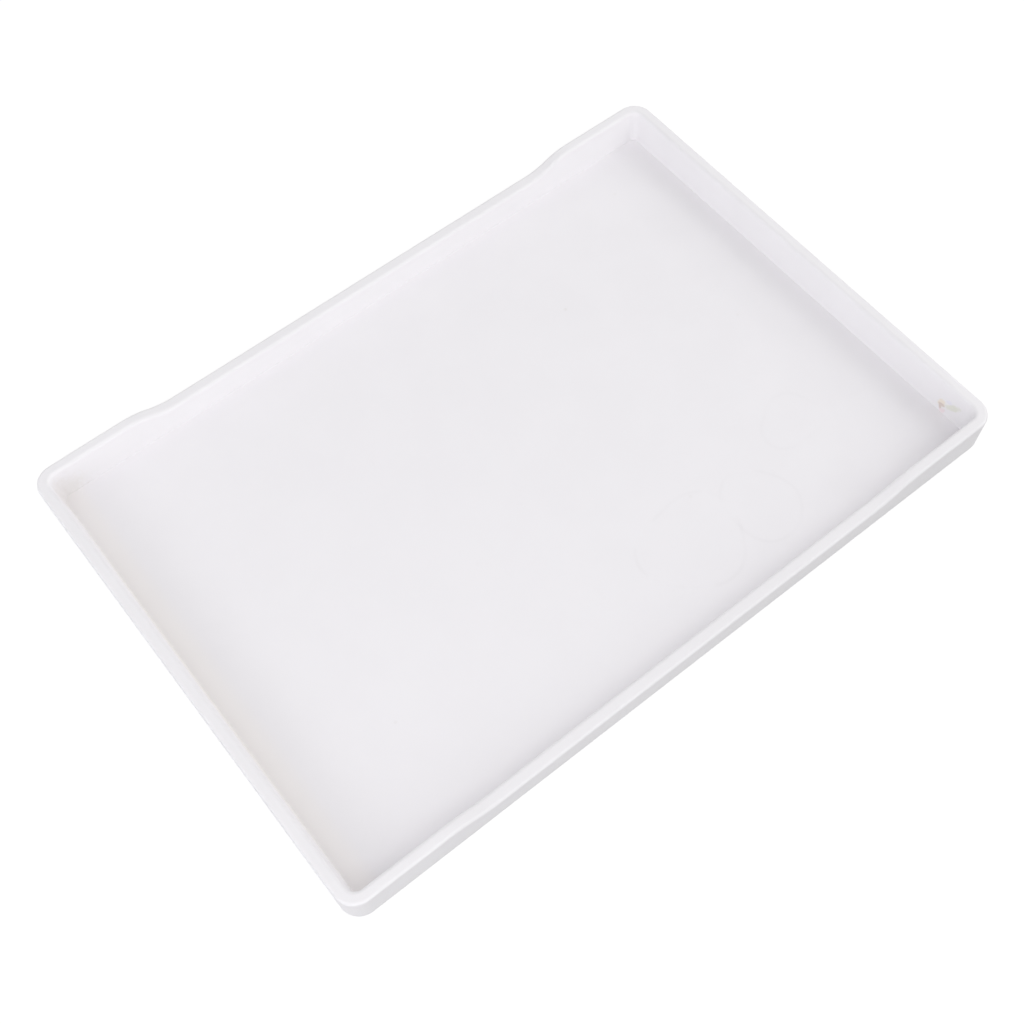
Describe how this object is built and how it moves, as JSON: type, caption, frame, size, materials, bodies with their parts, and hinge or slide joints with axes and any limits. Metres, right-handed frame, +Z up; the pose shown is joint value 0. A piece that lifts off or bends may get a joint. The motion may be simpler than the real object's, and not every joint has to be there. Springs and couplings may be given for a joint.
{
  "type": "wet palette",
  "caption": "Shallow white wet palette: a moulded tray with a rounded rim that dips along both long sides, a wet absorbent sheet on its floor and palette paper on top.",
  "frame": {"origin": "on the table, under the middle of the tray", "axes": "+X along the tray's length, +Y across its width, +Z up"},
  "size_m": [0.2298, 0.1594, 0.013],
  "materials": {
    "tray_plastic": "fine matte moulded grain",
    "absorbent_felt": "wet cellulose felt",
    "palette_paper": "wet, smooth, faint satin"
  },
  "bodies": {
    "tray": {"tray": "tray_plastic"},
    "absorbent": {"absorbent_sheet": "absorbent_felt"},
    "paper": {"palette_paper": "palette_paper"}
  },
  "joints": [
    {"name": "absorbent_lift", "type": "slide", "parent": "tray", "child": "absorbent", "axis": [0, 0, 1], "range_m": [0, 0.04]},
    {"name": "paper_lift", "type": "slide", "parent": "absorbent", "child": "paper", "axis": [0, 0, 1], "range_m": [0, 0.04]}
  ]
}
